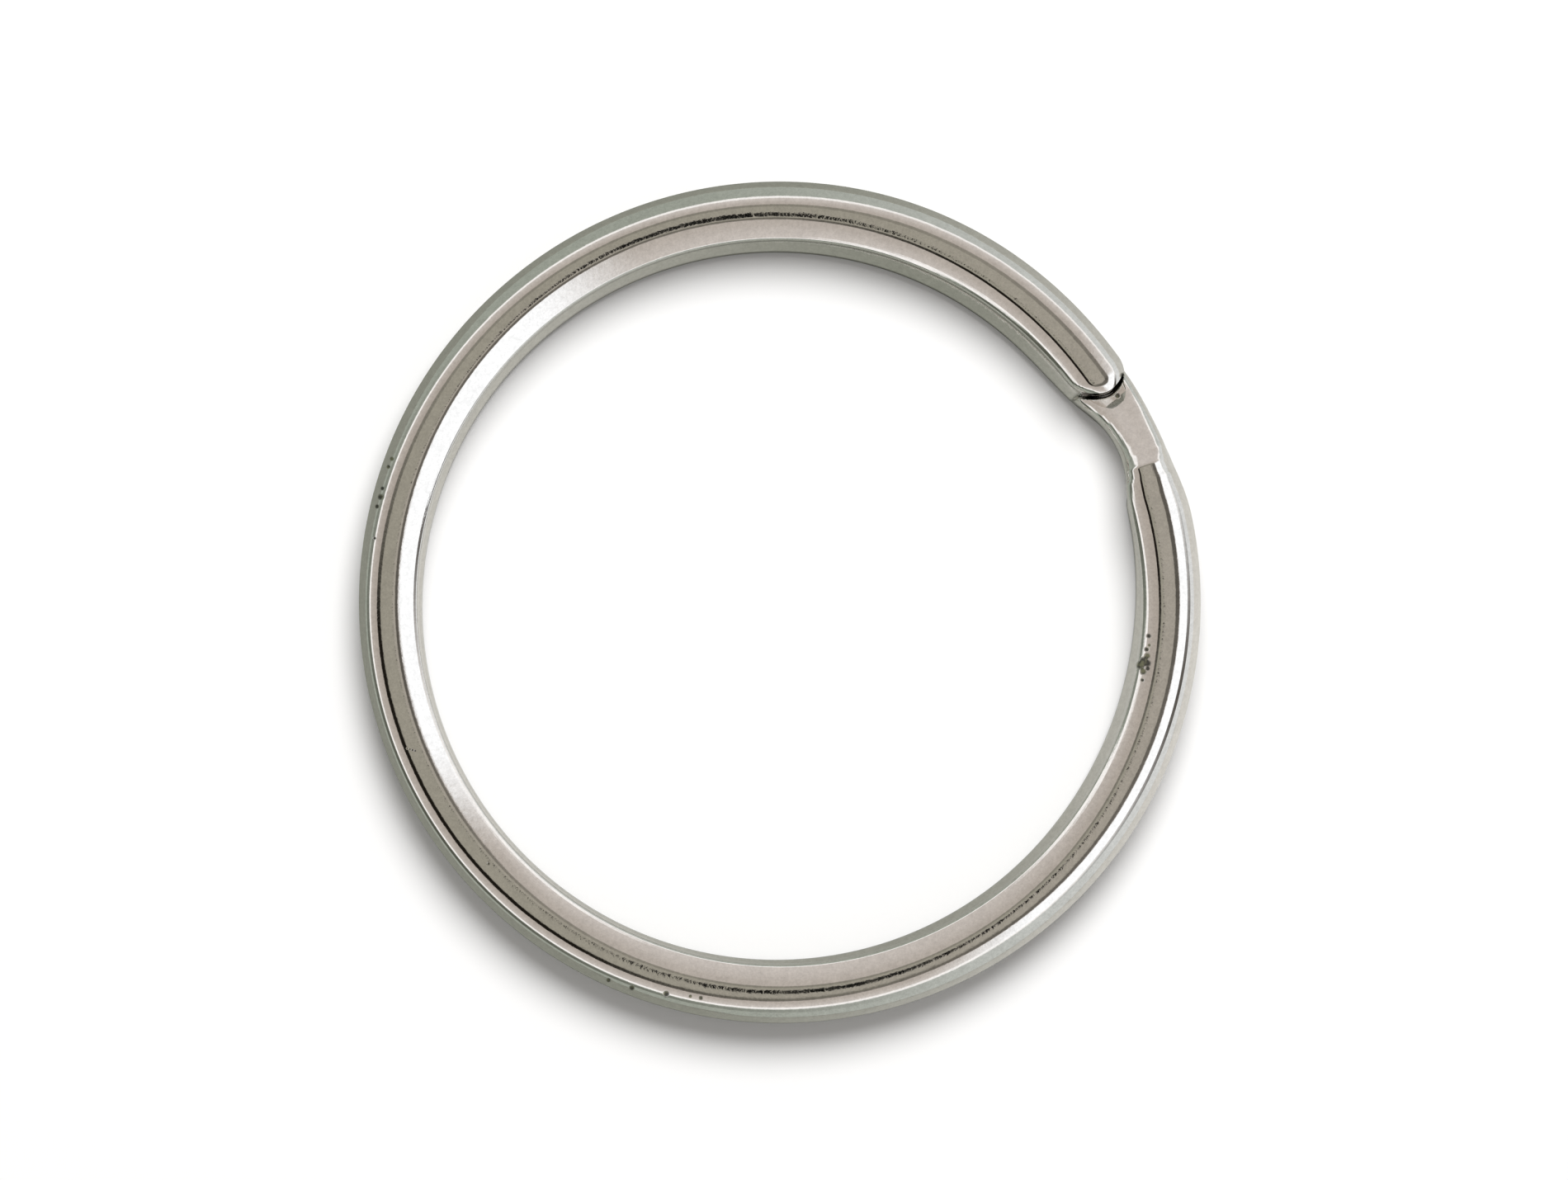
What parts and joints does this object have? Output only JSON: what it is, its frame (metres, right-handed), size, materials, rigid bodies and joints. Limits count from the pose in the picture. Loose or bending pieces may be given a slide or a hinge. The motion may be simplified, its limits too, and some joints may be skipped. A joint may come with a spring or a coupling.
{
  "type": "split key ring",
  "caption": "Split key ring: one springy wire in two close coils; either free end can be prised up to slide a key on.",
  "frame": {"origin": "middle of the eye, half-way between the two coils", "axes": "+Z along the eye's axis, out of the coil with the free end seen from above; +X and +Y across the ring, the upper free end lies in the +X +Y quarter"},
  "size_m": [0.0281, 0.0281, 0.0024],
  "materials": {
    "nickel_plate": "polished nickel plate on spring steel"
  },
  "bodies": {
    "crossover": {"crossover": "nickel_plate"},
    "upper_coil_01": {"upper_coil_01": "nickel_plate"},
    "upper_coil_02": {"upper_coil_02": "nickel_plate"},
    "upper_coil_03": {"upper_coil_03": "nickel_plate"},
    "upper_coil_04": {"upper_coil_04": "nickel_plate"},
    "upper_coil_05": {"upper_coil_05": "nickel_plate"},
    "upper_coil_06": {"upper_coil_06": "nickel_plate"},
    "upper_coil_07": {"upper_coil_07": "nickel_plate"},
    "upper_coil_08": {"upper_coil_08": "nickel_plate"},
    "upper_coil_09": {"upper_coil_09": "nickel_plate"},
    "upper_coil_10": {"upper_coil_10": "nickel_plate"},
    "upper_coil_11": {"upper_coil_11": "nickel_plate"},
    "upper_free_end": {"upper_free_end": "nickel_plate"},
    "lower_coil_01": {"lower_coil_01": "nickel_plate"},
    "lower_coil_02": {"lower_coil_02": "nickel_plate"},
    "lower_coil_03": {"lower_coil_03": "nickel_plate"},
    "lower_coil_04": {"lower_coil_04": "nickel_plate"},
    "lower_coil_05": {"lower_coil_05": "nickel_plate"},
    "lower_coil_06": {"lower_coil_06": "nickel_plate"},
    "lower_coil_07": {"lower_coil_07": "nickel_plate"},
    "lower_coil_08": {"lower_coil_08": "nickel_plate"},
    "lower_coil_09": {"lower_coil_09": "nickel_plate"},
    "lower_coil_10": {"lower_coil_10": "nickel_plate"},
    "lower_coil_11": {"lower_coil_11": "nickel_plate"},
    "lower_free_end": {"lower_free_end": "nickel_plate"}
  },
  "joints": [
    {"name": "upper_flex_01", "type": "hinge", "parent": "crossover", "child": "upper_coil_01", "pos_m": [0.01284, 0.00306, 0.00063], "axis": [-0.5445, 0.8387, 0], "range_deg": [0, 0.2079]},
    {"name": "upper_flex_02", "type": "hinge", "parent": "upper_coil_01", "child": "upper_coil_02", "pos_m": [0.01272, -0.0033, 0.00063], "axis": [0.7621, 0.6474, 0], "range_deg": [0, 0.373]},
    {"name": "upper_flex_03", "type": "hinge", "parent": "upper_coil_02", "child": "upper_coil_03", "pos_m": [0.0096, -0.00885, 0.00063], "axis": [0.9832, 0.1826, 0], "range_deg": [0, 0.6101]},
    {"name": "upper_flex_04", "type": "hinge", "parent": "upper_coil_03", "child": "upper_coil_04", "pos_m": [0.00422, -0.01226, 0.00063], "axis": [0.9814, -0.1922, 0], "range_deg": [0, 0.8586]},
    {"name": "upper_flex_05", "type": "hinge", "parent": "upper_coil_04", "child": "upper_coil_05", "pos_m": [-0.00212, -0.01273, 0.00063], "axis": [0.8831, -0.4691, 0], "range_deg": [0, 1.06]},
    {"name": "upper_flex_06", "type": "hinge", "parent": "upper_coil_05", "child": "upper_coil_06", "pos_m": [-0.00794, -0.01013, 0.00063], "axis": [0.7074, -0.7068, 0], "range_deg": [0, 1.17]},
    {"name": "upper_flex_07", "type": "hinge", "parent": "upper_coil_06", "child": "upper_coil_07", "pos_m": [-0.01183, -0.0051, 0.00063], "axis": [0.4646, -0.8855, 0], "range_deg": [0, 1.18]},
    {"name": "upper_flex_08", "type": "hinge", "parent": "upper_coil_07", "child": "upper_coil_08", "pos_m": [-0.01288, 0.00118, 0.00063], "axis": [0.1831, -0.9831, 0], "range_deg": [0, 1.1]},
    {"name": "upper_flex_09", "type": "hinge", "parent": "upper_coil_08", "child": "upper_coil_09", "pos_m": [-0.01083, 0.00721, 0.00063], "axis": [-0.1016, -0.9948, 0], "range_deg": [0, 0.927]},
    {"name": "upper_flex_10", "type": "hinge", "parent": "upper_coil_09", "child": "upper_coil_10", "pos_m": [-0.00618, 0.01155, 0.00063], "axis": [-0.3569, -0.9341, 0], "range_deg": [0, 0.7061]},
    {"name": "upper_flex_11", "type": "hinge", "parent": "upper_coil_10", "child": "upper_coil_11", "pos_m": [-0.00002, 0.01318, 0.00063], "axis": [-0.5624, -0.8269, 0], "range_deg": [0, 0.4652]},
    {"name": "upper_flex_12", "type": "hinge", "parent": "upper_coil_11", "child": "upper_free_end", "pos_m": [0.00617, 0.0117, 0.00063], "axis": [-0.7151, -0.699, 0], "range_deg": [0, 0.2281]},
    {"name": "lower_flex_01", "type": "hinge", "parent": "lower_coil_01", "child": "crossover", "pos_m": [0.00923, 0.00891, -0.00063], "axis": [-0.3922, 0.9199, 0], "range_deg": [0, 0.2103]},
    {"name": "lower_flex_02", "type": "hinge", "parent": "lower_coil_02", "child": "lower_coil_01", "pos_m": [0.00405, 0.01217, -0.00063], "axis": [-0.9648, -0.2629, 0], "range_deg": [0, 0.4007]},
    {"name": "lower_flex_03", "type": "hinge", "parent": "lower_coil_03", "child": "lower_coil_02", "pos_m": [-0.00205, 0.01266, -0.00063], "axis": [-0.722, -0.6919, 0], "range_deg": [0, 0.6293]},
    {"name": "lower_flex_04", "type": "hinge", "parent": "lower_coil_04", "child": "lower_coil_03", "pos_m": [-0.00769, 0.01027, -0.00063], "axis": [-0.4208, -0.9072, 0], "range_deg": [0, 0.8668]},
    {"name": "lower_flex_05", "type": "hinge", "parent": "lower_coil_05", "child": "lower_coil_04", "pos_m": [-0.01157, 0.00554, -0.00063], "axis": [-0.1465, -0.9892, 0], "range_deg": [0, 1.06]},
    {"name": "lower_flex_06", "type": "hinge", "parent": "lower_coil_06", "child": "lower_coil_05", "pos_m": [-0.01282, -0.00045, -0.00063], "axis": [0.1403, -0.9901, 0], "range_deg": [0, 1.16]},
    {"name": "lower_flex_07", "type": "hinge", "parent": "lower_coil_07", "child": "lower_coil_06", "pos_m": [-0.01116, -0.00634, -0.00063], "axis": [0.4205, -0.9073, 0], "range_deg": [0, 1.16]},
    {"name": "lower_flex_08", "type": "hinge", "parent": "lower_coil_08", "child": "lower_coil_07", "pos_m": [-0.00695, -0.01078, -0.00063], "axis": [0.6617, -0.7498, 0], "range_deg": [0, 1.07]},
    {"name": "lower_flex_09", "type": "hinge", "parent": "lower_coil_09", "child": "lower_coil_08", "pos_m": [-0.00116, -0.01278, -0.00063], "axis": [0.8404, -0.542, 0], "range_deg": [0, 0.9096]},
    {"name": "lower_flex_10", "type": "hinge", "parent": "lower_coil_10", "child": "lower_coil_09", "pos_m": [0.00489, -0.01186, -0.00063], "axis": [0.9485, -0.3169, 0], "range_deg": [0, 0.696]},
    {"name": "lower_flex_11", "type": "hinge", "parent": "lower_coil_11", "child": "lower_coil_10", "pos_m": [0.00983, -0.00825, -0.00063], "axis": [0.9941, -0.1081, 0], "range_deg": [0, 0.4641]},
    {"name": "lower_flex_12", "type": "hinge", "parent": "lower_free_end", "child": "lower_coil_11", "pos_m": [0.01269, -0.00247, -0.00063], "axis": [0.9966, 0.0827, 0], "range_deg": [0, 0.2277]}
  ],
  "couplings": [
    {"joint": "upper_flex_01", "follows": "upper_flex_07", "ratio": 0.17571},
    {"joint": "upper_flex_02", "follows": "upper_flex_07", "ratio": 0.31552},
    {"joint": "upper_flex_03", "follows": "upper_flex_07", "ratio": 0.51636},
    {"joint": "upper_flex_04", "follows": "upper_flex_07", "ratio": 0.72681},
    {"joint": "upper_flex_05", "follows": "upper_flex_07", "ratio": 0.89743},
    {"joint": "upper_flex_06", "follows": "upper_flex_07", "ratio": 0.98939},
    {"joint": "upper_flex_08", "follows": "upper_flex_07", "ratio": 0.92724},
    {"joint": "upper_flex_09", "follows": "upper_flex_07", "ratio": 0.78478},
    {"joint": "upper_flex_10", "follows": "upper_flex_07", "ratio": 0.59765},
    {"joint": "upper_flex_11", "follows": "upper_flex_07", "ratio": 0.39361},
    {"joint": "upper_flex_12", "follows": "upper_flex_07", "ratio": 0.19276},
    {"joint": "lower_flex_01", "follows": "lower_flex_07", "ratio": 0.18074},
    {"joint": "lower_flex_02", "follows": "lower_flex_07", "ratio": 0.3448},
    {"joint": "lower_flex_03", "follows": "lower_flex_07", "ratio": 0.54183},
    {"joint": "lower_flex_04", "follows": "lower_flex_07", "ratio": 0.74647},
    {"joint": "lower_flex_05", "follows": "lower_flex_07", "ratio": 0.91065},
    {"joint": "lower_flex_06", "follows": "lower_flex_07", "ratio": 0.99494},
    {"joint": "lower_flex_08", "follows": "lower_flex_07", "ratio": 0.92489},
    {"joint": "lower_flex_09", "follows": "lower_flex_07", "ratio": 0.78328},
    {"joint": "lower_flex_10", "follows": "lower_flex_07", "ratio": 0.59925},
    {"joint": "lower_flex_11", "follows": "lower_flex_07", "ratio": 0.39941},
    {"joint": "lower_flex_12", "follows": "lower_flex_07", "ratio": 0.19575}
  ]
}
